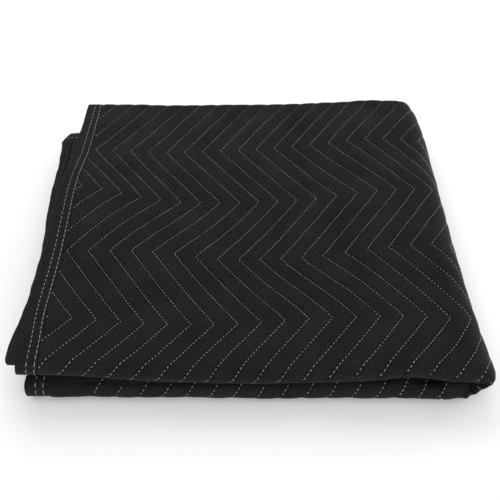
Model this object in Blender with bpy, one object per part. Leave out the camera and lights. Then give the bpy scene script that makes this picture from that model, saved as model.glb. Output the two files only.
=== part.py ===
"""A quilted moving pad, folded into a flat rectangular pack.

The cloth is 1.01 m by 1.76 m. Its length is folded in half and in half again, which gives
four layers. Its width is then folded in half at the right, which gives an upper pack and a
lower pack. The part lies on its underside at z = 0, with the fold that faces front at -Y
and the fold of the width at +X. Tape is sewn over all four edges of the cloth.
"""

import math

import bpy
import numpy as np

# Cloth
LAYER = 0.0055  # thickness of the quilted cloth
PITCH = 0.0062  # from one layer's middle to the next
BOUND = 0.0031  # thickness of the cloth inside its tape
CLEAR = 0.0003  # gap between tape and cloth

# The folded pack
DEPTH = 0.461  # from the front fold to the back fold
BEND_X = 0.225  # where the bend at the right begins
BEND_GAP = 0.004  # inner radius of that bend
FRONT_R = 1.5 * PITCH  # the fold that wraps all four layers
SMALL_R = 0.5 * PITCH  # the two tight folds
END_OUTER = DEPTH - 0.008  # free end of the fourth layer
END_INNER = DEPTH - 0.056  # free end of the third layer
INNER_BACK = 0.004  # how far the inner fold stands back from the front one

# Quilting
NEEDLES = 0.0254  # from one line of stitches to the next
ROW = 0.0995  # from one row of corners of the zigzag to the next
ROW_Y = 0.069  # the row of corners nearest the front
TRAVEL = 3 * NEEDLES  # how far a line moves sideways in one row
FIRST_X = BEND_X - 17.5 * NEEDLES
PUFF = 0.0007  # height of the puffs and depth of the seams

# Tape
TAPE = 0.022  # width on each face
TAPE_THICK = 0.0009
HEM = TAPE_THICK + CLEAR  # from the tape's outer edge to the cloth's edge
STEP = 0.0027  # where the cloth swells to its full thickness beside the tape

# How the pack lies: the left edge and how far the inner layers reach past it
EDGE_AT = (0.01, 0.09, 0.17, 0.29, 0.41, 0.461)
EDGE_X = (-0.243, -0.245, -0.2465, -0.2485, -0.2475, -0.246)
REACH_AT = (0.012, 0.035, 0.075, 0.14, 0.19, 0.24, 0.29, 0.34, 0.38, 0.461)
REACH = (0.0097, 0.011, 0.0065, 0.0066, 0.0089, 0.0142, 0.0176, 0.0197, 0.0246, 0.028)
SHARE_ENDS = 0.40  # from here back, a layer has the share of the reach that it has at its back
LOWER_EDGE = -0.2375

# Across the pack: the opening between the packs, how flat the pack is pressed, how far its
# upper front is set back and its lower front forward, and how much its back stands higher
# and further back
ACROSS = (-0.25, -0.19, -0.10, -0.01, 0.08, 0.15, 0.19, 0.225)
OPENING = (0.0060, 0.0052, 0.0016, 0.0008, 0.0012, 0.0042, 0.0036, 0.0045)
PRESSED = (1.0, 0.975, 0.94, 0.92, 0.93, 0.965, 0.985, 1.0)
SET_BACK = (0.009, 0.009, 0.005, 0.003, 0.005, 0.008, 0.006, -0.001)
FORWARD = (0.0, 0.0, 0.0005, 0.002, 0.0015, 0.002, 0.0035, -0.001)
BACK_UP = (0.0, 0.0, 0.03, 0.05, 0.07, 0.095, 0.12, 0.12)
BACK_OUT = (0.0, 0.001, 0.003, 0.0045, 0.005, 0.005, 0.0055, 0.0025)

# From front to back: how much of the pressing and of the rise at the back there is, how
# much of the set back, and how far the bend at the right stands out
DEEP = (0.0, 0.069, 0.268, 0.335, 0.401, 0.461)
SAG = (0.9, 1.0, 1.0, 0.82, 0.50, 0.2)
RISE = (0.0, 0.0, 0.0, 0.27, 0.77, 1.0)
FADE_AT = (0.012, 0.069, 0.135)
FADE = (1.0, 0.45, 0.0)
SPREAD_AT = (0.0, 0.012, 0.069, 0.135, 0.202, 0.268, 0.335, 0.401, 0.461)
SPREAD = (0.0035, 0.0035, 0.0010, 0.0, 0.001, 0.0025, 0.004, 0.004, -0.002)

BEND_R = BEND_GAP + 3.5 * PITCH  # radius of the outermost layer's middle in the bend
BEND_LONG = math.pi * BEND_R
BEND_STEPS = 10
HALF = 3.5 * PITCH + 0.5 * LAYER  # from a pack's inner plane to its outer face


class Station:
    """A place along the folded length: where the layer's middle is, and which way it runs."""

    def __init__(self, y, n, turn, share, run, relief=0.0, free=None):
        self.y, self.n = y, n
        self.normal = (-math.sin(turn), math.cos(turn))
        self.run = run
        self.relief = relief
        off = math.inf if free is None else abs(free - y)
        self.bound = off < TAPE + CLEAR + 0.001
        beside = y if off > TAPE + CLEAR + STEP + 0.001 else free
        self.reach = share * float(np.interp(beside, REACH_AT, REACH))
        self.edge = float(np.interp(beside, EDGE_AT, EDGE_X)) - self.reach


def layer(n, ys, turn, run, shares, relief=0.0, free=None):
    """Stations along one flat layer. shares say how far it reaches past the top layer's
    edge, at the front and at the back, as parts of REACH."""
    made = []
    for y in ys:
        beside = y if free is None or abs(free - y) > TAPE + CLEAR + STEP + 0.001 else free
        share = shares[0] + (shares[1] - shares[0]) * min(beside / SHARE_ENDS, 1.0)
        made.append(Station(y, n, turn, share, run, relief, free))
    return made


def fold(y, n, r, start, swept, steps, shares, run, relief=0.0):
    """Stations round a fold, without its two ends. shares are the reach at both ends."""
    made = []
    for i in range(1, steps):
        part = i / steps
        turn = start + swept * part
        side = -1.0 if swept < 0 else 1.0
        share = shares[0] + (shares[1] - shares[0]) * part
        at = (y + side * r * math.sin(turn), n - side * r * math.cos(turn))
        lift = relief * min(1.0, 1.6 * math.sin(math.pi * part))
        made.append(Station(at[0], at[1], turn, share, run, lift))
    return made


def folded_length():
    """The whole folded length, from the fourth layer's free end to the third layer's."""
    front = FRONT_R + 0.5 * LAYER
    back = DEPTH - SMALL_R - 0.5 * LAYER
    inner = front + INNER_BACK
    fine = [ROW_Y + ROW * k / 3 for k in range(-1, 12)]
    coarse = [y for i, y in enumerate(fine) if i % 2 == 1]
    inset = TAPE + CLEAR
    ends4 = [END_OUTER, END_OUTER - inset, END_OUTER - inset - STEP]
    ends3 = [END_INNER, END_INNER - inset, END_INNER - inset - STEP]
    ends4[0] -= HEM
    ends3[0] -= HEM
    down4 = [y for y in reversed(coarse) if y < ends4[2] - 0.01]
    up3 = [y for y in coarse if y < ends3[2] - 0.01]
    west, east = math.pi, 0.0
    path = layer(0.5 * PITCH, ends4 + down4 + [front], west, "fourth", (0.0, 0.1), 0, END_OUTER)
    path += fold(front, 2 * PITCH, FRONT_R, west, -west, 6, (0.0, 0.0), "front", 1)
    path += layer(3.5 * PITCH, [front] + fine + [back], east, "top", (0.0, 0.0), 1)
    path += fold(back, 3 * PITCH, SMALL_R, east, -west, 4, (0.0, 0.0), "back", 1)
    path += layer(2.5 * PITCH, [back] + coarse[::-1] + [inner], -west, "second", (1.0, 0.0))
    path += fold(inner, 2 * PITCH, SMALL_R, -west, west, 4, (1.0, 1.0), "inner")
    third = [inner] + up3 + ends3[::-1]
    path += layer(1.5 * PITCH, third, east, "third", (1.0, 1.0), 0, END_INNER)
    return path


def zigzag(path):
    """How far sideways the lines of stitches have moved at each station of the path."""
    long = [0.0]
    for a, b in zip(path, path[1:]):
        long.append(long[-1] + math.hypot(b.y - a.y, b.n - a.n))
    corner = next(i for i, p in enumerate(path) if p.run == "top" and abs(p.y - ROW_Y) < 1e-9)
    moved = []
    for at in long:
        rows = ((at - long[corner]) / ROW) % 2.0
        moved.append(TRAVEL * abs(1.0 - rows))
    return moved


def left_edge(station):
    """Where the upper pack's layer begins at the left."""
    return station.edge


def right_end(station):
    """Where the lower pack's layer ends, measured on through the bend."""
    return 2 * BEND_X + BEND_LONG - LOWER_EDGE


def table(x, at, values):
    """The value at x on straight lines between the entries, level beyond them."""
    return float(np.interp(x, at, values))


def place(s, y, n):
    """A point of the pack. s runs from left to right, round the bend and back to the left."""
    swing = min(max((s - BEND_X) / BEND_R, 0.0), math.pi)
    if s <= BEND_X:
        x = s
    elif s < BEND_X + BEND_LONG:
        x = BEND_X + (BEND_GAP + n) * math.sin(swing)
    else:
        x = 2 * BEND_X + BEND_LONG - s
    z = BEND_GAP + HALF + (BEND_GAP + n) * math.cos(swing)
    upper = 0.5 + 0.5 * math.cos(swing)
    z -= upper * (2 * BEND_GAP - table(x, ACROSS, OPENING))
    z *= 1 - (1 - table(x, ACROSS, PRESSED)) * table(y, DEEP, SAG)
    z *= 1 + table(y, DEEP, RISE) * table(x, ACROSS, BACK_UP)
    moved = upper * table(x, ACROSS, SET_BACK) - (1 - upper) * table(x, ACROSS, FORWARD)
    back_y = y + moved * table(y, FADE_AT, FADE) + table(y, DEEP, RISE) * table(x, ACROSS, BACK_OUT)
    x += min(max(x / BEND_X, 0.0), 1.0) * table(y, SPREAD_AT, SPREAD)
    return (x, back_y - 0.5 * DEPTH, z)


class Mesh:
    """Points and faces of one closed body."""

    def __init__(self):
        self.points = []
        self.faces = []

    def point(self, s, station, m):
        """A point at s along the width, m above the middle of the layer at a station."""
        y = station.y + m * station.normal[0]
        n = station.n + m * station.normal[1]
        self.points.append(place(s, y, n))
        return len(self.points) - 1

    def strip(self, a, b, flip):
        """Triangles between two lines of (measure, point), taken in order of measure."""
        i = j = 0
        while i < len(a) - 1 or j < len(b) - 1:
            ahead_a = a[i + 1][0] if i < len(a) - 1 else math.inf
            ahead_b = b[j + 1][0] if j < len(b) - 1 else math.inf
            if ahead_a < ahead_b - 1e-7:
                face = (a[i][1], a[i + 1][1], b[j][1])
                i += 1
            elif ahead_b < ahead_a - 1e-7:
                face = (a[i][1], b[j + 1][1], b[j][1])
                j += 1
            else:
                self.faces.append((a[i][1], a[i + 1][1], b[j + 1][1], b[j][1])[:: -1 if flip else 1])
                i += 1
                j += 1
                continue
            self.faces.append(face[:: -1 if flip else 1])

    def ring(self, loops, closed):
        """Faces between loops of points, with the first and last loops filled."""
        for a, b in zip(loops, loops[1:]):
            for i in range(len(a)):
                j = (i + 1) % len(a)
                self.faces.append((a[i], b[i], b[j], a[j]))
        if closed:
            self.faces.append(tuple(loops[0]))
            self.faces.append(tuple(reversed(loops[-1])))

    def make(self, name, material):
        data = bpy.data.meshes.new(name)
        data.from_pydata(self.points, [], self.faces)
        data.validate()
        piece = bpy.data.objects.new(name, data)
        bpy.context.scene.collection.objects.link(piece)
        data.materials.append(material)
        data.shade_smooth()
        data.set_sharp_from_angle(angle=math.radians(40))
        return piece


def cloth_line(mesh, station, side, moved):
    """One line of points across the cloth, in its three zones: left end, middle, right end.

    Where the face shows, the middle zone has a point at each seam and at each puff, and is
    measured along the slanting lines of stitches, so that the seams are straight creases.
    """
    left = left_edge(station) + HEM
    right = right_end(station) - HEM
    thin = 0.5 * BOUND
    full = thin if station.bound else 0.5 * LAYER
    inset = TAPE + CLEAR - HEM
    first = [(left, thin), (left + inset, thin), (left + inset + STEP, full)]
    last = [(right - inset - STEP, full), (right - inset, thin), (right, thin)]
    raised = side > 0 and station.relief > 0
    middle = [(first[2][0], full, first[2][0] - moved * raised)]
    if raised:
        step = 0.5 * NEEDLES
        k = math.ceil((first[2][0] + 0.004 - FIRST_X - moved) / step)
        while FIRST_X + moved + k * step < BEND_X - 0.004:
            s = FIRST_X + moved + k * step
            lift = PUFF * station.relief * (1 if k % 2 else -1)
            middle.append((s, full + lift, s - moved))
            k += 1
    else:
        middle += [(x, full, x) for x in ACROSS[1:-1]]
    middle.append((BEND_X, full, BEND_X - moved * raised))
    bend = [BEND_X + BEND_LONG * i / BEND_STEPS for i in range(1, BEND_STEPS + 1)]
    under = [2 * BEND_X + BEND_LONG - x for x in ACROSS[-2:0:-1]]
    tail = [(s, full) for s in bend + under]

    def points(rows):
        return [(row[-1 if len(row) == 3 else 0], mesh.point(row[0], station, side * row[1])) for row in rows]

    zone1, zone2, zone3 = points(first), points(middle[1:]), points(tail + last)
    zone2 = [(middle[0][2], zone1[-1][1])] + zone2
    zone3 = [(BEND_X, zone2[-1][1])] + zone3
    return zone1, zone2, zone3


def make_pad(path, moved, material):
    """The whole cloth: a line for each station on both faces, joined all round."""
    mesh = Mesh()
    above = [cloth_line(mesh, p, 1, d) for p, d in zip(path, moved)]
    below = [cloth_line(mesh, p, -1, d) for p, d in zip(path, moved)]
    for lines, flip in ((above, False), (below, True)):
        for i in range(len(lines) - 1):
            a, b = lines[i], lines[i + 1]
            one_plain = (path[i].relief > 0) != (path[i + 1].relief > 0) and lines is above
            shift = moved[i] if path[i].relief > 0 else moved[i + 1]
            for za, zb, middle in ((a[0], b[0], 0), (a[1], b[1], 1), (a[2], b[2], 0)):
                if middle and one_plain:
                    za = [(m + shift, p) for m, p in za] if path[i].relief > 0 else za
                    zb = [(m + shift, p) for m, p in zb] if path[i + 1].relief > 0 else zb
                elif not middle:
                    za = [(k, p) for k, (_, p) in enumerate(za)]
                    zb = [(k, p) for k, (_, p) in enumerate(zb)]
                mesh.strip(za, zb, flip)
    for end, flip in ((0, True), (-1, False)):
        upper = [point for zone in above[end] for point in zone]
        lower = [point for zone in below[end] for point in zone]
        for k in range(len(upper) - 1):
            face = (upper[k][1], upper[k + 1][1], lower[k + 1][1], lower[k][1])
            if face[0] != face[1]:
                mesh.faces.append(face[:: -1 if flip else 1])
    for zone, end, flip in ((0, 0, True), (2, -1, False)):
        for i in range(len(path) - 1):
            face = (above[i][zone][end][1], below[i][zone][end][1], below[i + 1][zone][end][1])
            face += (above[i + 1][zone][end][1],)
            mesh.faces.append(face[:: -1 if flip else 1])
    return mesh.make("pad", material)


def channel(width):
    """The tape's section: (distance in from its outer edge, height), as a folded channel."""
    top, wall = 0.5 * LAYER, TAPE_THICK
    outline = [(width, top), (0.0012, top), (0.0, top - 0.0012)]
    inside = [(wall, top - wall), (width, top - wall)]
    lower = [(d, -h) for d, h in reversed(outline)]
    hollow = [(d, -h) for d, h in reversed(inside)]
    return outline + lower + hollow + inside


def side_tape(name, path, edge, inward, material):
    """Tape on a long edge of the cloth: the section carried along the whole folded length."""
    mesh = Mesh()
    loops = []
    for i, station in enumerate(path):
        y = station.y
        if i in (0, len(path) - 1):
            y += HEM
        at = Station(y, station.n, 0, 0, "")
        at.normal = station.normal
        s = edge(station)
        loops.append([mesh.point(s + inward * d, at, h) for d, h in channel(TAPE)])
    if inward < 0:
        loops.reverse()
    mesh.ring(loops, True)
    return mesh.make(name, material)


def end_tape(name, station, outward_end, material):
    """Tape on a short edge: the section carried from one side tape to the other."""
    gap = TAPE + CLEAR
    start, stop = left_edge(station) + gap, right_end(station) - gap
    bend = [BEND_X + BEND_LONG * i / BEND_STEPS for i in range(BEND_STEPS + 1)]
    under = [2 * BEND_X + BEND_LONG - x for x in ACROSS[-2:0:-1]]
    mesh = Mesh()
    loops = []
    for s in [start] + list(ACROSS[1:-1]) + bend + under + [stop]:
        loop = []
        for d, h in channel(TAPE):
            at = Station(outward_end - d, station.n, 0, 0, "")
            loop.append(mesh.point(s, at, h))
        loops.append(loop)
    mesh.ring(loops, True)
    return mesh.make(name, material)


def cloth_material(name, colour, roughness):
    material = bpy.data.materials.new(name)
    material.use_nodes = True
    shader = material.node_tree.nodes["Principled BSDF"]
    shader.inputs["Base Color"].default_value = (*colour, 1.0)
    shader.inputs["Roughness"].default_value = roughness
    shader.inputs["Metallic"].default_value = 0.0
    return material


for old in list(bpy.data.objects):
    bpy.data.objects.remove(old, do_unlink=True)

black_cloth = cloth_material("black cloth", (0.018, 0.018, 0.019), 0.9)
black_tape = cloth_material("black tape", (0.015, 0.015, 0.016), 0.85)

whole = folded_length()
pieces = [
    make_pad(whole, zigzag(whole), black_cloth),
    side_tape("binding_side_upper", whole, left_edge, 1, black_tape),
    side_tape("binding_side_lower", whole, right_end, -1, black_tape),
    end_tape("binding_end_outer", whole[0], END_OUTER, black_tape),
    end_tape("binding_end_inner", whole[-1], END_INNER, black_tape),
]

# The origin is the middle of the pack's box, on the surface that it lies on.
spots = np.array([v.co for piece in pieces for v in piece.data.vertices])
middle = 0.5 * (spots.min(axis=0) + spots.max(axis=0))
for piece in pieces:
    piece.location = (-middle[0], -middle[1], -spots[:, 2].min())
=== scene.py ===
# %% [markdown]
# # A quilted moving pad, folded
#
# A moving pad is two faces of black cloth with batting between them, quilted together by a
# row of needles that moves from side to side, so that every line of stitches is a zigzag.
# Tape is folded over the raw edges and sewn down with two lines of longer stitches. This one
# is folded in half twice along its length, which gives four layers, and then once across.
#
# The cloth is never modelled flat and folded by a simulation. Instead each point of the cloth
# has two measures, s across the width and t along the length, and one function says where
# that point lies in the folded pack. The cloth, the tape and every stitch go through it, so
# they stay together.

import math

import bpy
import numpy as np
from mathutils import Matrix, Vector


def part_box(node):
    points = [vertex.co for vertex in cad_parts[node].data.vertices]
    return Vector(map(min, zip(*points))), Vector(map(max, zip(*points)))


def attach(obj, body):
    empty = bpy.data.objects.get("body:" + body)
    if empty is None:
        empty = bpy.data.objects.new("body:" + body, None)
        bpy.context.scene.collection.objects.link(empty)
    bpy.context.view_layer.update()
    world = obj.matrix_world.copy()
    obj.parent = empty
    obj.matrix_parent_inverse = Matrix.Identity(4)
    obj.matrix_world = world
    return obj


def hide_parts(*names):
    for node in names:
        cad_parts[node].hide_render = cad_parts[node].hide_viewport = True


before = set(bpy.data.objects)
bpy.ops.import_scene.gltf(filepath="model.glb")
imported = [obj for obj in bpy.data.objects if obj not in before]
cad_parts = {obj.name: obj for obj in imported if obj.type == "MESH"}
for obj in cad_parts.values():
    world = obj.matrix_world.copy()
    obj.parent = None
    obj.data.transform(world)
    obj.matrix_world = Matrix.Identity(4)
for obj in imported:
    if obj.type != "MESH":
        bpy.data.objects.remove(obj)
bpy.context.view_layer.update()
tape_low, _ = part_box("binding_side_lower")

# %% [markdown]
# ## The sizes
#
# These are the sizes that the solids were made with, in metres. The pack's own frame has x = 0
# under the camera and y = 0 at the front fold, and ORIGIN moves it to the frame of the solids.
# It is found from the lower tape, whose outer edge and front are at known places.
#
# LAYER is the thickness of a layer and PITCH the step to the next one. Inside the tape the
# cloth is only BOUND thick, and CLEAR is the gap between cloth and tape. DEPTH is measured
# from front to back, and the bend starts at BEND_X. NEEDLES is the space between two needles.
# A seam goes ROW along the pad while it moves TRAVEL sideways, and its first row of corners
# lies ROW_Y behind the front. BARE is the strip without quilting at the lower pack's edge.

# %% Sizes of the cloth and of the pack
LAYER, PITCH, BOUND, CLEAR = 0.0055, 0.0062, 0.0031, 0.0003
DEPTH, BEND_X, BEND_GAP = 0.461, 0.225, 0.004
FRONT_R, SMALL_R = 1.5 * PITCH, 0.5 * PITCH
END_OUTER, END_INNER = DEPTH - 0.008, DEPTH - 0.056
NEEDLES, ROW, ROW_Y = 0.0254, 0.0995, 0.069
TRAVEL, FIRST_X, BARE = 3 * NEEDLES, BEND_X - 17.5 * NEEDLES, 0.074
TAPE, TAPE_THICK, INNER_BACK = 0.022, 0.0009, 0.004
HEM = TAPE_THICK + CLEAR
HALF = 3.5 * PITCH + 0.5 * LAYER
BEND_R = BEND_GAP + 3.5 * PITCH
BEND_LONG = math.pi * BEND_R
print("the bend at the right is", round(BEND_LONG, 4), "long")

# %% [markdown]
# ## How the pack lies
#
# Short tables say how the pack differs from a neat box: the edge at the left, how far the
# inner layers reach past it, the opening between the upper and the lower pack, and how flat
# the pack is pressed. The upper front is set back and the lower front comes forward, the back
# is raised and pushed out, and the right side moves out or in a little. A cubic curve runs
# through each table, so that the cloth has no corners where the table has its entries.

# %% Tables of how the pack lies
EDGE_AT = (0.01, 0.09, 0.17, 0.29, 0.41, 0.461)
EDGE_X = (-0.243, -0.245, -0.2465, -0.2485, -0.2475, -0.246)
REACH_AT = (0.012, 0.035, 0.075, 0.14, 0.19, 0.24, 0.29, 0.34, 0.38, 0.461)
REACH = (0.0105, 0.011, 0.0065, 0.0066, 0.0089, 0.0142, 0.0176, 0.0197, 0.0246, 0.028)
LOWER_EDGE = -0.2375
ACROSS = (-0.25, -0.19, -0.10, -0.01, 0.08, 0.15, 0.19, 0.225)
OPENING = (0.0060, 0.0052, 0.0016, 0.0008, 0.0012, 0.0042, 0.0036, 0.0045)
PRESSED = (1.0, 0.975, 0.94, 0.92, 0.93, 0.965, 0.985, 1.0)
SET_BACK_AT = (-0.25, -0.19, -0.10, -0.01, 0.08, 0.105, 0.135, 0.156, 0.18, 0.20, 0.212, 0.225, 0.24)
SET_BACK = (0.009, 0.009, 0.005, 0.003, 0.004, 0.004, 0.005, 0.007, 0.0065, 0.003, 0.0, -0.001, 0.001)
FORWARD_AT = (-0.19, -0.10, -0.01, 0.08, 0.15, 0.18, 0.20, 0.215, 0.23, 0.24, 0.252)
FORWARD = (0.0, 0.0005, 0.002, 0.0015, 0.002, 0.0022, 0.0035, 0.002, 0.0, -0.003, -0.006)
BACK_UP = (0.0, 0.0, 0.03, 0.05, 0.07, 0.095, 0.12, 0.12)
BACK_OUT = (0.0, 0.001, 0.003, 0.0045, 0.005, 0.005, 0.0055, 0.0025)
DEEP = (0.0, 0.069, 0.268, 0.335, 0.401, 0.461)
SAG = (0.9, 1.0, 1.0, 0.82, 0.50, 0.2)
RISE = (0.0, 0.0, 0.0, 0.27, 0.77, 1.0)
SPREAD_AT = (0.0, 0.012, 0.069, 0.135, 0.202, 0.268, 0.335, 0.40, 0.44, 0.461)
SPREAD = (0.0035, 0.0035, 0.0010, 0.0, 0.001, 0.0025, 0.004, 0.004, 0.001, -0.004)


def curve(x, at, values):
    """A cubic through the points (at, values): on each stretch the value and the slope at
    both ends are met by the four Hermite polynomials. It is level beyond the table."""
    at, values = np.asarray(at, float), np.asarray(values, float)
    slope = np.gradient(values, at)
    i = np.clip(np.searchsorted(at, x) - 1, 0, len(at) - 2)
    wide = at[i + 1] - at[i]
    u = np.clip((x - at[i]) / wide, 0, 1)
    start = (1 + 2 * u) * (1 - u) ** 2 * values[i] + u * (1 - u) ** 2 * wide * slope[i]
    end = u * u * (3 - 2 * u) * values[i + 1] + u * u * (u - 1) * wide * slope[i + 1]
    return start + end


def ramp(x, low, high):
    """0 below low, 1 above high, and a smooth S of 3u^2 - 2u^3 between them."""
    u = np.clip((x - low) / (high - low), 0, 1)
    return u * u * (3 - 2 * u)


def waves(x, y, size, seed, count=9):
    """A gentle uneven surface of height about 1: a sum of sine waves of about one length,
    size, that run in seeded directions."""
    rng = np.random.default_rng(seed)
    total = 0.0
    for turn, long, phase in zip(*rng.uniform(0, 1, (3, count))):
        k = 2 * math.pi / (size * (0.7 + 0.8 * long))
        along = x * math.cos(2 * math.pi * turn) + y * math.sin(2 * math.pi * turn)
        total = total + np.sin(k * along + 2 * math.pi * phase)
    return total / math.sqrt(count)


ORIGIN = (tape_low[0] - LOWER_EDGE, tape_low[1])
print("origin of the pack", [round(v, 5) for v in ORIGIN])

# %% [markdown]
# ## The folded length
#
# Seen from the side, the cloth is a line that runs straight, turns round a fold, and runs
# straight again. A straight run and an arc are both given by their length and curvature, so
# one formula covers all seven: the direction is the start direction plus curvature times
# length, and the place is its integral. t is 0 at the first row of zigzag corners.

# %% The seven runs of the folded length
front = FRONT_R + 0.5 * LAYER
back = DEPTH - SMALL_R - 0.5 * LAYER
runs = [
    ("fourth", END_OUTER - HEM - front, 0.0),
    ("front", math.pi * FRONT_R, -1 / FRONT_R),
    ("top", back - front, 0.0),
    ("back", math.pi * SMALL_R, -1 / SMALL_R),
    ("second", back - front - INNER_BACK, 0.0),
    ("inner", math.pi * SMALL_R, 1 / SMALL_R),
    ("third", END_INNER - HEM - front - INNER_BACK, 0.0),
]
run_ends = np.concatenate([[0], np.cumsum([long for _, long, _ in runs])])
T0 = run_ends[2] + ROW_Y - front
starts = {name: run_ends[i] - T0 for i, (name, _, _) in enumerate(runs)}
T_FIRST, T_LAST = -T0, run_ends[-1] - T0


def folded(t):
    """Where the layer's middle is, as y and n, and the direction of its side that shows."""
    y, n, turn = END_OUTER - HEM, 0.5 * PITCH, math.pi
    place_y, place_n, angle = (np.zeros(np.shape(t)) for _ in range(3))
    for i, (name, long, bend) in enumerate(runs):
        along = np.clip(t - starts[name], 0, long) if i < 6 else np.maximum(t - starts[name], 0)
        here = (t >= starts[name]) | (i == 0)
        along = np.where(t < T_FIRST, t - T_FIRST, along) if i == 0 else along
        a = turn + bend * along
        if bend:
            at_y = y + (np.sin(a) - math.sin(turn)) / bend
            at_n = n - (np.cos(a) - math.cos(turn)) / bend
        else:
            at_y, at_n = y + math.cos(turn) * along, n + math.sin(turn) * along
        place_y, place_n = np.where(here, at_y, place_y), np.where(here, at_n, place_n)
        angle = np.where(here, a, angle)
        if bend:
            y += (math.sin(turn + bend * long) - math.sin(turn)) / bend
            n -= (math.cos(turn + bend * long) - math.cos(turn)) / bend
            turn += bend * long
        else:
            y, n = y + math.cos(turn) * long, n + math.sin(turn) * long
    return place_y, place_n, -np.sin(angle), np.cos(angle)


SHARE_AT = [T_FIRST + 0.053, starts["front"], starts["second"] + 0.055, starts["inner"]]
SHARE = [0.1, 0.0, 0.0, 1.0]


def reach(t):
    """How far the layer at t reaches past the top layer's edge."""
    y = np.clip(folded(t)[0], 0, DEPTH)
    free = np.where(t > starts["third"], END_INNER - TAPE - 0.003, END_OUTER - TAPE - 0.003)
    inside = (t > starts["third"]) | (t < starts["front"])
    y = np.where(inside & (y > free), np.where(t > 0, END_INNER, END_OUTER), y)
    return y, np.interp(t, SHARE_AT, SHARE) * curve(y, REACH_AT, REACH)


def left_edge(t):
    """Where the upper pack's tape begins, measured across."""
    y, past = reach(t)
    return curve(y, EDGE_AT, EDGE_X) - past


def right_end(t):
    """Where the lower pack's tape ends, measured across and on round the bend."""
    return 2 * BEND_X + BEND_LONG - LOWER_EDGE + 0 * t


print("cut length", round(T_LAST - T_FIRST + 2 * HEM, 3), "m")

# %% [markdown]
# ## From the cloth to the pack
#
# The second fold turns the pack round a bend at the right. A point at height n in the upper
# pack goes round a half circle of radius n plus the gap, and comes back below. After that the
# tables press and shift the whole pack a little, always by smooth amounts, so that layers
# never cross.

# %% From cloth to pack


def place(s, y, n):
    """x, y and z of a point: straight to the bend, round it by the angle swing, and back.
    Heights are then scaled from z = 0 up, so the underside stays flat."""
    swing = np.clip((s - BEND_X) / BEND_R, 0, math.pi)
    x = np.minimum(s, BEND_X) + (BEND_GAP + n) * np.sin(swing)
    x = x - np.maximum(s - BEND_X - BEND_LONG, 0)
    z = BEND_GAP + HALF + (BEND_GAP + n) * np.cos(swing)
    upper = 0.5 + 0.5 * np.cos(swing)
    z = z - upper * (2 * BEND_GAP - curve(x, ACROSS, OPENING))
    z = z * (1 - (1 - curve(x, ACROSS, PRESSED)) * curve(y, DEEP, SAG))
    rise = curve(y, DEEP, RISE)
    z = z * (1 + rise * curve(x, ACROSS, BACK_UP))
    z = z * (1 + 0.012 * waves(x, y, 0.16, 3) + 0.006 * waves(x, y, 0.06, 4))
    back_y = upper * curve(x, SET_BACK_AT, SET_BACK) - (1 - upper) * curve(x, FORWARD_AT, FORWARD)
    back_y = back_y - (1 - upper) * 0.0004 * waves(x, 0 * x, 0.045, 15)
    back_y = y + back_y * (1 - ramp(y, 0.0, 0.15))
    back_y = back_y + rise * curve(x, ACROSS, BACK_OUT)
    x = x + ramp(x, 0.0, 0.25) * curve(y, SPREAD_AT, SPREAD)
    return np.stack([x + ORIGIN[0], back_y + ORIGIN[1], z], axis=-1)


print("the top is", round(float(place(0.0, 0.2, HALF)[2]), 4), "high near its middle")

# %% [markdown]
# ## Seams, swells and creases
#
# Each seam pulls a groove into the cloth, and the batting swells between the seams. The face
# could be sculpted by hand, but here its height is a formula of s and t, so the grooves lie
# exactly under the stitches, which use the same zigzag. The creases of the front and of its
# crushed right corner follow no rule, so they are a short table of soft hills and hollows.

# %% Height of the face


def zig(t):
    """How far sideways the needles have moved at t: a triangle wave, TRAVEL high."""
    return TRAVEL * (1 - np.abs((t / ROW + 1) % 2 - 1))


LEAN = math.hypot(TRAVEL, ROW) / ROW
APART = NEEDLES / LEAN
CREASES = (
    (2 * BEND_X + BEND_LONG - 0.2, -0.0735, 0.0018, 0.010, -0.0018),
    (BEND_X + 0.99 * BEND_LONG, -0.0735, 0.0025, 0.010, 0.0016),
    (BEND_X + 0.90 * BEND_LONG, -0.0745, 0.0018, 0.008, -0.0026),
    (BEND_X + 0.82 * BEND_LONG, -0.0745, 0.0016, 0.007, 0.0010),
    (BEND_X + 0.74 * BEND_LONG, -0.0745, 0.0016, 0.007, -0.0022),
    (BEND_X + 0.60 * BEND_LONG, -0.0750, 0.0018, 0.006, -0.0018),
    (BEND_X + 0.36 * BEND_LONG, -0.0660, 0.011, 0.004, 0.0026),
    (BEND_X + 0.50 * BEND_LONG, -0.0710, 0.012, 0.005, 0.0014),
    (0.184, -0.0665, 0.012, 0.0035, 0.0007),
    (-0.02, -0.0620, 0.170, 0.0020, -0.0007),
    (-0.02, -0.0675, 0.170, 0.0022, 0.0004),
    (2 * BEND_X + BEND_LONG + 0.12, -0.0840, 0.075, 0.0013, -0.0016),
    (2 * BEND_X + BEND_LONG + 0.16, -0.0865, 0.040, 0.0012, 0.0009),
)


def creases(s, t):
    """Soft creases and bumps of the front, most of them by its right corner, each a Gaussian
    hill: its place, its half width across and along, and its height. The end of the bend is
    also crushed: the cloth falls back 5 mm under a sharp upper edge and comes out again towards
    the lower pack."""
    edge = starts["front"] + 0.0148 + 0.0045 * ramp(s, BEND_X, BEND_X + 0.03)
    under = ramp(edge - t, -0.0002, 0.0024) * (1 - ramp(edge - t, 0.006, 0.017))
    crushed = ramp(s, BEND_X - 0.016, BEND_X) * (1 - ramp(s, BEND_X + 0.04, BEND_X + 0.065))
    return -0.0047 * under * crushed + sum(
        high * np.exp(-(((s - at_s) / wide) ** 2) - ((t - at_t) / long) ** 2)
        for at_s, at_t, wide, long, high in CREASES
    )


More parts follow.
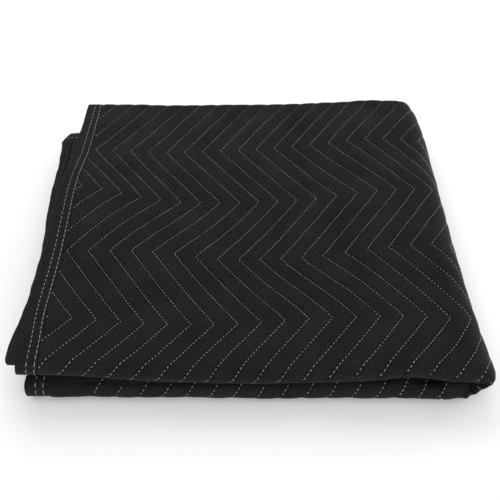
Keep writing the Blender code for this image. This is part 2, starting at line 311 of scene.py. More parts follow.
def quilted(s):
    """The measure across that the needles follow. The lower pack is drawn in by a little, and
    out again beside the bend."""
    under = s - BEND_X - BEND_LONG
    beside_bend = np.exp(-(((under - 0.02) / 0.022) ** 2))
    drawn = 0.0015 * ramp(s, BEND_X, BEND_X + 0.5 * BEND_LONG) - 0.004 * beside_bend
    return s + drawn + 0.010 * ramp(under, 0.02, 0.10) + 0.026 * np.maximum(under - 0.1, 0)


def seam_gap(s, t):
    """Distance from the nearest line of stitches, measured square to it."""
    k = (quilted(s) - FIRST_X - zig(t)) / NEEDLES
    return np.abs(k - np.round(k)) * APART


def puff(s, t):
    """Height of the quilted face: a groove at each seam and a soft swell between them."""
    gap = seam_gap(s, t)
    swell = 1 - (1 - np.clip(2 * gap / APART, 0, 1)) ** 2
    groove = np.exp(-((gap / 0.0026) ** 2))
    uneven = 1 + 0.35 * waves(s, t, 0.05, 7)
    sewn = 1 - ramp(s, right_end(t) - BARE - 0.003, right_end(t) - BARE + 0.003)
    return 0.0005 * swell * uneven - 0.00022 * groove * sewn - 0.0002


print("lines of stitches stand", round(APART * 1000, 1), "mm apart")

# %% [markdown]
# ## How the cloth is pulled
#
# Washing and folding leave a real pad out of square, so its rows of zigzag corners wander.
# Two tables say, in millimetres, how far the cloth is moved across and along at seven places
# of seven rows. Moving the cloth itself, and not only the stitches, keeps the grooves, the
# swells and the thread together.

# %% Pulls and the rounded corner
PULL_AT = (-0.22, -0.185, -0.12, -0.02, 0.08, 0.18, 0.24)
PULL_ROWS = (-0.078, -0.062, -0.046, 0.0, ROW, 2 * ROW, 3 * ROW)
PULL_ACROSS_MM = (
    (0, -1, -1, 0, -6, -4, -8),
    (3, 3.5, 1.5, 0.5, -3, -3, -6),
    (3, 5, 4, 0, 0, 0, -3),
    (1, 2, 3, 3, 5, 5, 3),
    (1, 1, 1, 3, 2, 6, 6),
    (-2, 0, 2, 3, 1.5, 4, 0),
    (2, 1, 0, 0, -1, -1, -3),
)
PULL_ALONG_MM = (
    (0, 0, 0, 0, 0, 0, 0),
    (-1, -1, -1, -1, 0, 0, 0),
    (-1, -1, -2, -1, 1, 0, 1),
    (-3, -4, -6, -3, 4, 1, 4),
    (-2, -1, 0, -9, -5, 8, 10),
    (10, 2, -10, -13, -6, 5, 5),
    (-14, -15, -16, -11, -2, 4, 2),
)


def pull(s, t):
    """How far the cloth of the top layer is pulled out of square, across and along. Each row of
    the tables is a curve across, and the curves fade into each other and out past the folds."""
    at = np.array([-0.1, *PULL_ROWS, starts["back"]])
    mine = (t > at[0]) & (t < at[-1]) & (s < BEND_X + BEND_LONG)
    above = mine * (1 - ramp(s, BEND_X + 0.3 * BEND_LONG, BEND_X + BEND_LONG))
    across, along = 0.0, 0.0
    for i, (row_across, row_along) in enumerate(zip(PULL_ACROSS_MM, PULL_ALONG_MM)):
        share = 0.001 * above * curve(t, at, np.eye(len(at))[i + 1])
        across = across + share * curve(s, PULL_AT, row_across)
        along = along + share * curve(s, PULL_AT, row_along)
    return across, along


def corner(s, t):
    """How far the left corner at the third layer's end is drawn in, across and along, so that
    it is round: the two sides give way to each other by 1 minus the distance, squared."""
    from_side = np.clip((s - left_edge(t)) / 0.045, 0, 1)
    from_end = np.clip((T_LAST + HEM - t) / 0.03, 0, 1)
    third = t > starts["third"]
    across = third * 0.008 * (1 - from_end) ** 2 * (1 - from_side)
    along = third * -0.0035 * (1 - from_side) ** 2 * (1 - from_end)
    return across, along


def surface(s, t, height):
    """A point of the cloth at s and t, height above the middle of its layer."""
    across, along = (a + b for a, b in zip(pull(s, t), corner(s, t)))
    y, n, out_y, out_n = folded(t + along)
    return place(s + across, y + height * out_y, n + height * out_n)


print("a corner of a row is moved along by", max(abs(v) for v in sum(PULL_ALONG_MM, ())), "mm at most")

# %% [markdown]
# ## The cloth
#
# The cloth is one closed skin: a fine grid on the side that shows, a coarse grid on the other
# side, and strips between them round all four edges, which lie inside the tape. The coarse
# grid uses every few of the fine grid's lines, so the strips meet both exactly.

# %% Grid lines of the cloth


def spread(low, high, step):
    """Even values from low to high, both included, about one step apart."""
    return np.linspace(low, high, max(2, int(round((high - low) / step)) + 1))


def lines_along(fine, coarse):
    """Values of t: fine on the top layer and round its folds, coarse on the hidden layers."""
    names = [name for name, _, _ in runs]
    steps = {"top": fine, "front": 0.0014, "back": 0.0011, "inner": 0.0016}
    parts = []
    for name, long, _ in runs:
        low, high = starts[name], starts[name] + long
        parts.append(spread(low, high, steps.get(name, coarse))[: None if name == names[-1] else -1])
    return np.concatenate(parts)


t_lines = lines_along(0.0026, 0.014)
beside = np.array([HEM, 0.5 * TAPE, TAPE - 0.001, TAPE + 0.0012, TAPE + 0.0032])
s_top = np.arange(FIRST_X + 0.006 - NEEDLES / 10, BEND_X, NEEDLES / 10)
s_bend = BEND_X + spread(0, BEND_LONG, 0.0018)
s_near = spread(BEND_X + BEND_LONG, BEND_X + BEND_LONG + 0.03, 0.0016)[1:]
s_under = spread(s_near[-1], 2 * BEND_X + BEND_LONG + 0.209, 0.0064)[1:]
s_lines = np.concatenate([s_top, s_bend, s_near, s_under])
past_tape = left_edge(t_lines)[:, None] + beside[-1]
S = np.concatenate(
    [
        left_edge(t_lines)[:, None] + beside,
        past_tape + (s_top[0] - past_tape) * np.array([0.33, 0.67]),
        np.broadcast_to(s_lines, (len(t_lines), len(s_lines))),
        right_end(t_lines)[:, None] - beside[::-1],
    ],
    axis=1,
)
T = np.broadcast_to(t_lines[:, None], S.shape)
print("cloth grid", S.shape)

# %% The skin's points and faces


def half_thick(s, t):
    """Half the cloth's thickness: thin inside the tape, full a few millimetres past it."""
    inside = np.minimum(s - left_edge(t), right_end(t) - s)
    inside = np.minimum(inside, np.minimum(t - T_FIRST, T_LAST - t) + HEM)
    return 0.5 * BOUND + 0.5 * (LAYER - BOUND) * ramp(inside, TAPE + 0.0004, TAPE + 0.0030)


def show(s, t):
    """1 where the face has room to puff: on the top, its folds and the bend, not under it."""
    y, n, _, _ = folded(t)
    beside_tape = ramp(np.minimum(s - left_edge(t), right_end(t) - s), TAPE + 0.001, TAPE + 0.006)
    outer = ramp(n, 1.0 * PITCH, 2.0 * PITCH) * (t < starts["second"]) + 0.3 * (t < starts["front"])
    bottom = ramp(s, BEND_X + 0.75 * BEND_LONG, BEND_X + BEND_LONG) * ramp(n, 2.6 * PITCH, 3.3 * PITCH)
    return np.clip(outer, 0, 1) * beside_tape * (1 - bottom)


def cells(rows, columns, start=0):
    """The four corners of every cell of a grid of points numbered row by row."""
    a = start + np.arange(rows * columns).reshape(rows, columns)
    return np.stack([a[:-1, :-1], a[:-1, 1:], a[1:, 1:], a[1:, :-1]], axis=-1).reshape(-1, 4)


def thinned(count, wanted):
    """Indices of a coarse grid: both ends and every wanted-th between."""
    return np.unique(np.concatenate([np.arange(0, count, wanted), [count - 1]]))


def rim_between(fine, picks, coarse):
    """Faces between a fine edge and the coarse edge made of its picked points."""
    return [
        list(fine[a : b + 1]) + [coarse[j + 1], coarse[j]]
        for j, (a, b) in enumerate(zip(picks[:-1], picks[1:]))
    ]


def new_piece(name, points, faces, uv, material):
    """A mesh object at the origin, smooth, with a UV map that holds s and t in metres."""
    data = bpy.data.meshes.new(name)
    data.from_pydata(np.asarray(points, float).reshape(-1, 3).tolist(), [], faces)
    point_of = np.zeros(len(data.loops), np.int32)
    data.loops.foreach_get("vertex_index", point_of)
    layer = data.uv_layers.new(name="cloth")
    layer.data.foreach_set("uv", np.asarray(uv, np.float32).reshape(-1, 2)[point_of].ravel())
    data.shade_smooth()
    data.materials.append(material)
    piece = bpy.data.objects.new(name, data)
    bpy.context.scene.collection.objects.link(piece)
    print(name, len(data.vertices), "points", sum(len(f) - 2 for f in faces), "triangles")
    return piece


print("room to puff on the top", round(float(show(np.array(0.0), np.array(0.1))), 2))

# %% [markdown]
# ## Materials
#
# Shader maths reads best as formulas. The class below wraps one output socket, and its
# operators add Math nodes, so 1 - mask * 0.5 is written as it is read.

# %% Shader formulas


class Wire:
    """One output socket of a node tree, with the operators that the materials use."""

    def __init__(self, tree, socket):
        self.tree, self.socket = tree, socket

    def node(self, kind, settings=None, **inputs):
        """Adds a node, sets its settings first, then its sockets by name or number."""
        made = self.tree.nodes.new(kind)
        for key, value in (settings or {}).items():
            setattr(made, key, value)
        for key, value in inputs.items():
            place_in = made.inputs[int(key[1:]) if key[0] == "_" else key.replace("_", " ")]
            if isinstance(value, Wire):
                self.tree.links.new(value.socket, place_in)
            else:
                place_in.default_value = value
        return made

    def math(self, operation, a, b=0.0):
        made = self.node("ShaderNodeMath", {"operation": operation}, _0=a, _1=b)
        return Wire(self.tree, made.outputs[0])

    def __add__(self, other):
        return self.math("ADD", self, other)

    def __sub__(self, other):
        return self.math("SUBTRACT", self, other)

    def __rsub__(self, other):
        return self.math("SUBTRACT", other, self)

    def __mul__(self, other):
        return self.math("MULTIPLY", self, other)

    def __truediv__(self, other):
        return self.math("DIVIDE", self, other)

    __radd__, __rmul__ = __add__, __mul__

    def sin(self):
        return self.math("SINE", self)

    def abs(self):
        return self.math("ABSOLUTE", self)

    def fall(self, width):
        """exp of minus the square of self over width."""
        over = self / width
        return self.math("EXPONENT", over * over * -1.0)

    def between(self, low, high):
        """0 below low, 1 above high, smooth between."""
        made = self.node(
            "ShaderNodeMapRange",
            {"interpolation_type": "SMOOTHSTEP"},
            Value=self,
            From_Min=low,
            From_Max=high,
        )
        return Wire(self.tree, made.outputs[0])


def start_material(name, roughness, sheen, sheen_roughness):
    """A material with its shader, and a Wire to start formulas from."""
    made = bpy.data.materials.new(name)
    made.use_nodes = True
    tree = made.node_tree
    shader = tree.nodes["Principled BSDF"]
    shader.inputs["Roughness"].default_value = roughness
    shader.inputs["Specular IOR Level"].default_value = 0.1
    shader.inputs["Sheen Weight"].default_value = sheen
    shader.inputs["Sheen Roughness"].default_value = sheen_roughness
    return made, shader, Wire(tree, None)


def noise(wire, vector, scale, detail=3.0):
    """Cloudy values between 0 and 1: scale sets their size, detail adds finer ones."""
    made = wire.node("ShaderNodeTexNoise", None, Vector=vector, Scale=scale, Detail=detail)
    return Wire(wire.tree, made.outputs["Fac"])


def blend_colours(wire, mask, dark, light):
    """The colour dark where mask is 0 and light where it is 1."""
    made = wire.node("ShaderNodeMix", {"data_type": "RGBA"}, _0=mask, _6=dark, _7=light)
    return Wire(wire.tree, made.outputs[2])


def bump(wire, height, distance):
    """A normal that makes the face look raised by height times distance."""
    made = wire.node("ShaderNodeBump", None, Height=height, Distance=distance, Strength=1.0)
    return Wire(wire.tree, made.outputs["Normal"])


# %% [markdown]
# ## The quilted cloth
#
# The cloth is a plain weave of soft black cotton, speckled with lighter fibres. Its look could
# be an image, but formulas on the measures s and t stay sharp and follow every fold. Along each
# seam they add a groove darkened with painted shade, with a small pucker at every stitch, and the
# crushed corner gets painted shade in its hollow, along its fold lines and under its upper edge.

# %% Weave, seams and puckers
STITCH = 0.0044
# Fold lines of the crushed corner that get painted shade: part of the bend's length, half width.
SHADED_FOLD_LINES = ((1.31, 0.0016), (0.895, 0.005), (0.74, 0.002))


def weave(u, v, yarn):
    """A plain weave: over one, under one, in both directions."""
    a = (u * (math.pi / yarn)).sin()
    b = (v * (math.pi / yarn)).sin()
    return (a * b) * 0.5 + 0.5


def quilted_cloth():
    """Black cotton cloth with the groove and the small puckers that each seam pulls in. Painted
    shade darkens each groove, the hollow of the crushed corner, its fold lines and a patch under
    its upper edge. The fold lines are at parts of the bend's length, each with its half width."""
    made, shader, wire = start_material("quilted black cloth", 0.85, 0.09, 0.3)
    uv = wire.node("ShaderNodeUVMap", {"uv_map": "cloth"})
    uv = Wire(wire.tree, uv.outputs[0])
    apart = wire.node("ShaderNodeSeparateXYZ", None, Vector=uv)
    u, v = Wire(wire.tree, apart.outputs[0]), Wire(wire.tree, apart.outputs[1])
    moved = (1.0 - wire.math("PINGPONG", v / ROW, 1.0)) * TRAVEL
    k = (u - FIRST_X - moved) / NEEDLES
    bare_from = float(quilted(right_end(0.0) - BARE))
    from_line = (0.5 - (wire.math("FRACT", k) - 0.5).abs()) * APART
    seam = from_line + u.between(bare_from - 0.003, bare_from) * 0.02
    pucker = (v * (2 * math.pi * LEAN / STITCH)).sin() * seam.fall(0.0035)
    yarns = weave(u, v, 0.0006)
    soft = noise(wire, uv, 90.0)
    fine = noise(wire, uv, 900.0, 2.0)
    height = yarns * 0.05 + fine * 0.10 + soft * 0.45 - seam.fall(0.0011) * 0.25 + pucker * 0.08
    far = v.between(0.0, 0.2)
    coarse = far * 0.55 + 0.2
    grain = noise(wire, uv, 1000.0, 1.0) * (1.0 - coarse) + noise(wire, uv, 640.0, 1.0) * coarse
    # The seam term in the tone darkens a band along each line of stitches: painted shade in the groove.
    tone = noise(wire, uv, 22.0, 4.0) * 0.13 + grain * 0.87 - seam.fall(0.0016) * 0.08
    # crushed marks the hollow of the crushed corner, which the tone darkens with painted shade.
    crushed = (u - BEND_X - 0.048).fall(0.020) * (v - starts["front"] - 0.0125).fall(0.009)
    # Painted shade along the crushed corner's fold lines, and in a patch under its upper edge.
    crease_shade = sum((u - (BEND_X + part * BEND_LONG)).fall(wide) for part, wide in SHADED_FOLD_LINES)
    crease_shade = crease_shade * (v - starts["front"] - 0.008).fall(0.007)
    crease_shade = crease_shade + (u - BEND_X - 0.119).fall(0.014) * (v - starts["front"] - 0.001).fall(0.0035)
    tone = tone.between(far * 0.02 + 0.434, 0.587 - far * 0.02) - crushed * 1.3 - crease_shade * 0.8
    colour = blend_colours(wire, tone, (0.0010, 0.0010, 0.0010, 1), (0.0195, 0.0195, 0.0195, 1))
    wire.tree.links.new(colour.socket, shader.inputs["Base Color"])
    wire.tree.links.new(bump(wire, height, 0.001).socket, shader.inputs["Normal"])
    return made


cloth_look = quilted_cloth()
print("material", cloth_look.name)

# %% [markdown]
# ## The tape and the thread
#
# The tape is a closer, darker weave than the cloth. Its outer edge is darkened with painted
# shade, and near the third layer's free end two fold marks slant across it, also darkened with
# painted shade. The tape of the second layer, which lies in shade under the top layer, is made
# lighter with painted light. The thread is plain: at the size it has in the photograph its twist
# can't be seen, so it only varies a little in tone.

# %% Binding tape and thread


def tape_cloth():
    """Black woven tape, with a groove along both lines of stitches and two fold marks near the
    third layer's free end. Painted shade darkens the fold marks and the outer edge, and painted
    light makes the second layer's tape lighter."""
    made, shader, wire = start_material("black binding tape", 0.8, 0.09, 0.3)
    uv = Wire(wire.tree, wire.node("ShaderNodeUVMap", {"uv_map": "cloth"}).outputs[0])
    apart = wire.node("ShaderNodeSeparateXYZ", None, Vector=uv)
    u, v = Wire(wire.tree, apart.outputs[0]), Wire(wire.tree, apart.outputs[1])
    yarns = weave(u, v, 0.0005)
    fine = noise(wire, uv, 900.0, 2.0)
    seams = (u - 0.012).fall(0.0009) + (u - 0.020).fall(0.0009)
    # inner marks the second layer's tape, which the tone makes lighter with painted light against the
    # shade under the top layer.
    inner = v.between(starts["second"], starts["inner"])
    near_end = v.between(T_LAST - 0.11, T_LAST - 0.08) * (1.0 - v.between(T_LAST - 0.025, T_LAST - 0.01))
    lean = (v - T_LAST + 0.05) * 0.07
    # folds marks the two fold marks; the tone below darkens them with painted shade.
    folds = ((u - lean - 0.0135).fall(0.0012) + (u - lean - 0.0065).fall(0.0010)) * near_end
    height = yarns * 0.05 + fine * 0.12 + noise(wire, uv, 120.0) * 0.4 - seams * 0.35 - folds * 0.3
    grain = noise(wire, uv, 850.0, 1.0) * 0.5 + noise(wire, uv, 430.0, 1.0) * 0.5
    tone = noise(wire, uv, 30.0, 4.0) * 0.25 + grain.between(0.41, 0.58) * 0.75 + inner * 0.3 - folds * 1.2
    # The outer edge is darkened with painted shade.
    tone = tone - (1.0 - u.between(0.0, 0.0015)) * 0.25
    colour = blend_colours(wire, tone, (0.0005, 0.0005, 0.0005, 1), (0.0165, 0.0165, 0.0165, 1))
    wire.tree.links.new(colour.socket, shader.inputs["Base Color"])
    wire.tree.links.new(bump(wire, height, 0.001).socket, shader.inputs["Normal"])
    return made


def white_thread():
    """Off-white spun thread, a little greyed and uneven in tone."""
    made, shader, wire = start_material("white thread", 0.6, 0.1, 0.5)
    uv = Wire(wire.tree, wire.node("ShaderNodeUVMap", {"uv_map": "cloth"}).outputs[0])
    tone = noise(wire, uv, 60.0)
    colour = blend_colours(wire, tone, (0.44, 0.44, 0.44, 1), (0.66, 0.66, 0.66, 1))
    wire.tree.links.new(colour.socket, shader.inputs["Base Color"])
    return made


tape_look, thread_look = tape_cloth(), white_thread()
print("materials", [m.name for m in (tape_look, thread_look)])

# %% [markdown]
# ## Making the cloth
#
# The two sides are two calls of the same function, at plus and minus half the thickness, and
# only the side that shows gets the swells and the creases. A Solidify modifier could give the
# thickness as well, but the hidden side would then have as many points as the one that shows.

# %% Make the cloth
rows, columns = S.shape
thick = half_thick(S, T)
upper_side = surface(S, T, thick + puff(S, T) * show(S, T) + creases(S, T))
pick_t, pick_s = thinned(rows, 6), thinned(columns, 5)
S2, T2 = S[np.ix_(pick_t, pick_s)], T[np.ix_(pick_t, pick_s)]
lower_side = surface(S2, T2, -half_thick(S2, T2))
n_fine = rows * columns
fine_ids = np.arange(n_fine).reshape(rows, columns)
coarse_ids = n_fine + np.arange(S2.size).reshape(S2.shape)
faces = cells(rows, columns).tolist()
faces += cells(*S2.shape, start=n_fine)[:, ::-1].tolist()
faces += [f[::-1] for f in rim_between(fine_ids[0], pick_s, coarse_ids[0])]
faces += rim_between(fine_ids[-1], pick_s, coarse_ids[-1])
faces += rim_between(fine_ids[:, 0], pick_t, coarse_ids[:, 0])
faces += [f[::-1] for f in rim_between(fine_ids[:, -1], pick_t, coarse_ids[:, -1])]
points = np.concatenate([upper_side.reshape(-1, 3), lower_side.reshape(-1, 3)])
uv = np.concatenate([np.stack([quilted(a), b], -1).reshape(-1, 2) for a, b in ((S, T), (S2, T2))])
pad = new_piece("quilted_pad", points, faces, uv, cloth_look)
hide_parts("pad")
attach(pad, "root")

# %% [markdown]
# ## The tape
#
# The tape is folded over the cloth's edge like a channel. Its section is a closed outline,
# wide legs above and below and a rounded back, and it is carried along the edge through the
# same function as the cloth, so it takes every fold with it.

# %% The tape's section


def tape_section():
    """Distance in from the outer edge, and height, of a closed outline with a round back."""
    top, wall, r = 0.5 * LAYER, TAPE_THICK, 0.0014
    round_back = np.linspace(0.5 * math.pi, 1.5 * math.pi, 11)
    legs = np.array([TAPE - 0.0004, 0.0202, 0.018, 0.016, 0.0142, 0.0125, 0.0105, 0.0085, 0.0065, 0.0045])
    outer_d = np.concatenate([[TAPE], legs, r + r * np.cos(round_back), legs[::-1], [TAPE]])
    bow = 0.00025 * np.sin(math.pi * np.clip(legs / TAPE, 0, 1)) - 0.0001
    outer_h = np.concatenate(
        [[top - 0.0003], top + bow, top * np.sin(round_back), -top - bow[::-1], [-top + 0.0003]]
    )
    inner_d = np.array([TAPE, 0.012, wall + 0.001, wall, wall, wall + 0.001, 0.012, TAPE])
    gap = top - wall
    inner_h = np.array([-gap, -gap, -gap, 0.7 * -gap, 0.7 * gap, gap, gap, gap])
    return np.concatenate([outer_d, inner_d]), np.concatenate([outer_h, inner_h])


def tube_faces(rings, around):
    """Cells of a tube whose rings close on themselves, with a face over each end."""
    a = np.arange(rings * around).reshape(rings, around)
    b = np.roll(a, -1, axis=1)
    sides = np.stack([a[:-1], a[1:], b[1:], b[:-1]], axis=-1).reshape(-1, 4).tolist()
    return sides + [a[0].tolist(), a[-1][::-1].tolist()]


section_d, section_h = tape_section()
tape_t = lines_along(0.005, 0.007)
tape_t = np.concatenate([[T_FIRST - HEM], tape_t[1:-1], [T_LAST + HEM]])
print("tape section", len(section_d), "points;", len(tape_t), "rings")

# %% [markdown]
# ## Tape on the long edges
#
# The tape on a long edge goes once along the whole folded length. A curve with a bevel could
# carry the section too, but it would have to be fitted to the cloth, and this way the tape
# follows by itself. The edge is a little uneven, as it is after sewing.

# %% Tape on the long edges


def tape_piece(name, node, points, along, flipped):
    """A tape from its rings of points, with its faces turned outwards. Its UV map holds the
    distance in from the edge and the measure along it."""
    faces = tube_faces(*points.shape[:2])
    if flipped:
        faces = [f[::-1] for f in faces]
    uv = np.stack([np.broadcast_to(section_d, along.shape), along], -1)
    piece = new_piece(name, points, faces, uv, tape_look)
    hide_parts(node)
    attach(piece, "root")
    return piece


def pleats(d, t):
    """Two soft ridges that slant across the tape near the third layer's free end."""
    near = ramp(t, T_LAST - 0.12, T_LAST - 0.08) * (1 - ramp(t, T_LAST - 0.03, T_LAST - 0.01))
    lean = (t - T_LAST + 0.05) * 0.07
    return near * sum(np.exp(-(((d - lean - at) / 0.0017) ** 2)) for at in (0.0100, 0.0170))


def side_tape(name, node, edge, inward):
    """The section carried along the whole folded length at one long edge. The outer edge is
    a little uneven, and the face that shows has its pleats."""
    t = np.broadcast_to(tape_t[:, None], (len(tape_t), len(section_d)))
    uneven = 0.0003 * waves(t, 0 * t, 0.03, 11) * (section_d > 0.01)
    uneven = uneven - 0.0004 * waves(t, 0 * t, 0.022, 12) * (section_d < 0.006)
    s = edge(t) + inward * (section_d + uneven)
    outer = section_h > 0.5 * LAYER - 0.0003
    points = surface(s, t, section_h + 0.0011 * outer * pleats(section_d, t))
    return tape_piece(name, node, points, t, inward < 0)


side_upper = side_tape("side_tape_upper", "binding_side_upper", left_edge, 1)
side_lower = side_tape("side_tape_lower", "binding_side_lower", right_end, -1)

# %% [markdown]
# ## Tape on the short edges
#
# Each of these goes across and round the bend, and stops just short of the two side tapes, so
# that no tape cuts through another.

# %% Tape on the short edges


def end_tape(name, node, t_end, inward):
    """The section carried across, from one side tape to the other, round the bend."""
    low = float(left_edge(np.array(t_end))) + TAPE + CLEAR
    high = float(right_end(np.array(t_end))) - TAPE - CLEAR
    under = spread(BEND_X + BEND_LONG, high, 0.014)[1:]
    across = np.concatenate([spread(low, BEND_X, 0.01)[:-1], s_bend, under])
    s = np.broadcast_to(across[:, None], (len(across), len(section_d)))
    t = np.broadcast_to(t_end + inward * section_d, s.shape)
    return tape_piece(name, node, surface(s, t, section_h), s, inward > 0)


end_outer = end_tape("end_tape_outer", "binding_end_outer", T_FIRST - HEM, 1)
end_inner = end_tape("end_tape_inner", "binding_end_inner", T_LAST + HEM, -1)

# %% [markdown]
# ## The stitches
#
# Each stitch is a short bowed thread that comes up out of the cloth and goes down again. The
# quilting has one every 4.4 mm and the tape one every 6.5 mm. Their middles are worked out
# first, then one little tube is placed on all of them at once.

# %% One stitch on every middle
ALONG = np.array([-1.0, -0.55, 0.0, 0.55, 1.0])
AROUND = np.linspace(0, 2 * math.pi, 6)[:-1]
TUBE = len(ALONG) * len(AROUND)


def stitches(name, s, t, ds, dt, lift, length, thick, material):
    """Tubes along (ds, dt), which are unit directions on the cloth. A tube's height above the
    face is lift at its middle and dips below the face at both ends, as 1 minus the square."""
    a = 0.5 * length * ALONG
    ss, tt = s[:, None] + ds[:, None] * a, t[:, None] + dt[:, None] * a
    rise = lift[:, None] + thick * (0.35 - 1.1 * ALONG**2)
    centre = surface(ss, tt, rise)
    above = surface(ss, tt, rise + 0.001) - centre
    above /= np.linalg.norm(above, axis=-1, keepdims=True)
    ahead = np.gradient(centre, axis=1)
    ahead /= np.linalg.norm(ahead, axis=-1, keepdims=True)
    side = np.cross(ahead, above)
    side /= np.linalg.norm(side, axis=-1, keepdims=True)
    wide = 0.5 * thick * np.array([0.6, 0.95, 1.0, 0.95, 0.6])[:, None, None]
    ring = np.cos(AROUND)[:, None] * side[:, :, None]
    ring = ring + 0.8 * np.sin(AROUND)[:, None] * above[:, :, None]
    points = centre[:, :, None] + wide * ring
    first = TUBE * np.arange(len(s))[:, None]
    sides = np.array(tube_faces(len(ALONG), len(AROUND))[:-2])[:, ::-1]
    cap = np.arange(len(AROUND))
    ends = np.concatenate([first + cap[::-1], first + TUBE - len(AROUND) + cap])
    faces = (first[:, :, None] + sides).reshape(-1, 4).tolist() + ends.tolist()
    uv = np.stack([np.broadcast_to(v[:, :, None], points.shape[:-1]) for v in (ss, tt)], -1)
    piece = new_piece(name, points, faces, uv, material)
    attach(piece, "root")
    return piece


print("a stitch has", TUBE, "points")

# %% [markdown]
# ## The quilting
#
# The stitches of one needle lie on a zigzag at even steps, and each needle starts at a place
# of its own. They show on the top, its folds, the bend and the lower pack's underside. Where
# the cloth rolls over them at the front, or is crushed at the corner, they sink in or are
# left out, as in the photograph. The thread is two pieces that meet on the bend.

# %% Quilting stitches
QUILTING_THREAD = (0.0027, 0.00039)
THREADS_MEET = BEND_X + 0.8 * BEND_LONG


def quilting(low_t, high_t, low_s, high_s):
    """Middles and directions of the quilting stitches in a stretch of the cloth. A line's
    place is known as quilted(s), and a fine table read backwards gives s."""
    step = STITCH / LEAN
    k = np.arange(-4, 45)
    i = np.arange(math.floor(low_t / step), math.ceil(high_t / step))
    k, i = (v.ravel() for v in np.meshgrid(k, i, indexing="ij"))
    t = (i + (k * 0.37) % 1.0) * step
    even = np.linspace(-0.4, 1.2, 3201)
    s = np.interp(FIRST_X + k * NEEDLES + zig(t), quilted(even), even)
    clear = TAPE + 0.0008
    keep = (t > low_t) & (t < high_t) & (s > np.maximum(left_edge(t) + clear, low_s))
    keep &= s < np.minimum(right_end(t) - BARE, high_s)
    crushed = (s > BEND_X + 0.004) & (s < BEND_X + 1.15 * BEND_LONG) & (t < starts["front"] + 0.016)
    one_line_shows = (k == 19) & (t > starts["front"] + 0.006)
    keep &= ~crushed | one_line_shows
    s, t = s[keep], t[keep]
    lean = (zig(t + 1e-5) - zig(t - 1e-5)) / 2e-5
    long = np.hypot(lean, 1)
    return s, t, lean / long, 1 / long


def sunk(s, t):
    """How deep a stitch sits in the cloth: uneven, deeper where the back fold puffs up, and
    out of sight in a band of the front fold, where the cloth rolls over it. The band is about
    5 mm high on the left half and 11 mm further right, and it ends at the bend."""
    back = ramp(t, starts["back"] - 0.05, starts["back"])
    past = t - starts["front"]
    upper = 0.0115 + 0.0065 * ramp(s, 0.0, 0.08)
    turn = ramp(past, 0.006, 0.0075) * (1 - ramp(past, upper - 0.0013, upper + 0.0013))
    turn = turn * (1 - ramp(s, BEND_X - 0.008, BEND_X + 0.004))
    return -0.0002 + 0.00012 * ramp(waves(s, t, 0.03, 21), 0.2, 1.4) + 0.0002 * back + 0.0006 * turn


def quilting_thread(name, low_s, high_s):
    """The quilting stitches between two measures across, on the swells of the face."""
    s, t, ds, dt = quilting(starts["front"] - 0.02, starts["second"] + 0.01, low_s, high_s)
    on_face = half_thick(s, t) + puff(s, t) * show(s, t) + creases(s, t) - sunk(s, t)
    return stitches(name, s, t, ds, dt, on_face, *QUILTING_THREAD, thread_look)


thread_top = quilting_thread("quilting_thread", -1, THREADS_MEET)
thread_under = quilting_thread("quilting_thread_under", THREADS_MEET, 3)

# %% [markdown]
# ## The stitches on the tape
#
# Two lines hold every tape, with longer stitches than the quilting has. Only the side of the
# cloth that shows gets them.

# %% Stitches on the tape
TAPE_STITCH = 0.0065
TAPE_SEAMS = (0.012, 0.0202)
TAPE_THREAD = (0.0046, 0.0004)


def tape_stitches():
    """Two lines on the outer face of every tape, as columns of s, t and direction."""
    found = []
    for edge, inward, end in ((left_edge, 1, starts["third"] + 0.2), (right_end, -1, T_LAST - 0.06)):
        t = np.arange(T_FIRST + TAPE, end, TAPE_STITCH)
        for line in TAPE_SEAMS:
            found.append((edge(t) + inward * line, t, 0 * t, 1 + 0 * t))
    for t_end, inward in ((T_FIRST - HEM, 1), (T_LAST + HEM, -1)):
        low = float(left_edge(np.array(t_end))) + 0.005
        high = float(right_end(np.array(t_end))) - 0.005
        for line, first in zip(TAPE_SEAMS, (low, low + 0.02)):
            s = np.arange(first, high, TAPE_STITCH)
            found.append((s, t_end + inward * line + 0 * s, 1 + 0 * s, 0 * s))
    return np.concatenate([np.stack(part) for part in found], axis=1)


s, t, ds, dt = tape_stitches()
on_face = 0.5 * LAYER + 0.0002 + 0 * s
thread_tape = stitches("binding_thread", s, t, ds, dt, on_face, *TAPE_THREAD, thread_look)

# %% [markdown]
# ## The sheet's flat size
#
# The pad is one sheet of quilted cloth, folded, with its tape and its thread on it.

cut = (round(float(np.mean(right_end(t_lines) - left_edge(t_lines))), 3), round(T_LAST - T_FIRST, 3))
print("flat size of the sheet", cut)

# %% [markdown]
# ## Floor, light and camera
#
# The photograph has a white ground and soft light from all round. Three lights add to it: a
# high one behind, a little to the left, which makes the far end of the black cloth look grey,
# a low one in front, and a low one at the right, which brings out the bend. The floor is half
# a millimetre down, as far as the stitches of the underside reach.
#
# The camera stands in front of the pack and looks down on it. Its height and distance were
# fitted to the rows of zigzag corners, and go with the focal length, which is in pixels.

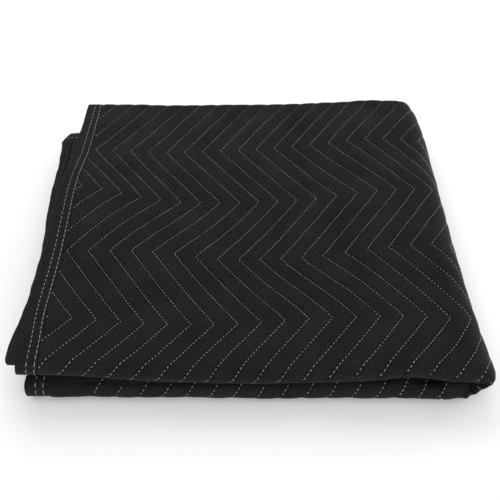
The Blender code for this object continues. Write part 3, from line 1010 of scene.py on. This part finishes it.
# %% Floor and white surroundings
FLOOR_HALF, FLOOR_DOWN = 6, 0.0005
floor_data = bpy.data.meshes.new("floor")
floor_corners = [(x * FLOOR_HALF, y * FLOOR_HALF, 0) for x, y in ((-1, -1), (1, -1), (1, 1), (-1, 1))]
floor_data.from_pydata(floor_corners, [], [(0, 1, 2, 3)])
floor = bpy.data.objects.new("floor", floor_data)
floor.location.z = -FLOOR_DOWN
bpy.context.scene.collection.objects.link(floor)
pale = bpy.data.materials.new("pale floor")
pale.use_nodes = True
pale.node_tree.nodes["Principled BSDF"].inputs["Base Color"].default_value = (0.94, 0.94, 0.94, 1)
pale.node_tree.nodes["Principled BSDF"].inputs["Roughness"].default_value = 0.9
floor_data.materials.append(pale)

world = bpy.data.worlds.new("studio")
world.use_nodes = True
world.node_tree.nodes["Background"].inputs["Color"].default_value = (1, 1, 1, 1)
world.node_tree.nodes["Background"].inputs["Strength"].default_value = 0.85
bpy.context.scene.world = world
bpy.context.scene.view_settings.view_transform = "Standard"
print("floor", FLOOR_DOWN, "m down, surroundings", world.name)

# %% Lights
LIGHTS = (
    ("light_back", (-0.3, 1.6, 1.5), 1.6, 18),
    ("light_front", (0.2, -2.1, 0.35), 1.5, 24),
    ("light_right", (2.0, 1.2, 0.35), 1.2, 20),
)


def soft_light(name, spot, size, power):
    """A square area light at spot, so many metres wide and watts strong, that faces the
    origin."""
    data = bpy.data.lights.new(name, "AREA")
    data.size, data.energy = size, power
    light = bpy.data.objects.new(name, data)
    light.location = spot
    way = -np.array(spot)
    light.rotation_euler = (
        math.acos(-way[2] / np.linalg.norm(way)),
        0,
        math.atan2(way[1], way[0]) - 0.5 * math.pi,
    )
    bpy.context.scene.collection.objects.link(light)


for light_name, spot, size, power in LIGHTS:
    soft_light(light_name, spot, size, power)
print("lights", len(LIGHTS))

# %% Camera
FOCAL_PIXELS, PHOTO_PIXELS = 568, 500
CAMERA_FORWARD, CAMERA_UP, CAMERA_DOWN_DEGREES = 0.274, 0.5675, 49.4
camera_data = bpy.data.cameras.new("camera")
camera_data.sensor_width = 36.0
camera_data.lens = camera_data.sensor_width * FOCAL_PIXELS / PHOTO_PIXELS
camera = bpy.data.objects.new("camera", camera_data)
camera.location = (ORIGIN[0], ORIGIN[1] - CAMERA_FORWARD, CAMERA_UP)
camera.rotation_euler = (math.radians(90 - CAMERA_DOWN_DEGREES), 0, 0)
bpy.context.scene.collection.objects.link(camera)
bpy.context.scene.camera = camera
print("camera at", [round(v, 3) for v in camera.location])
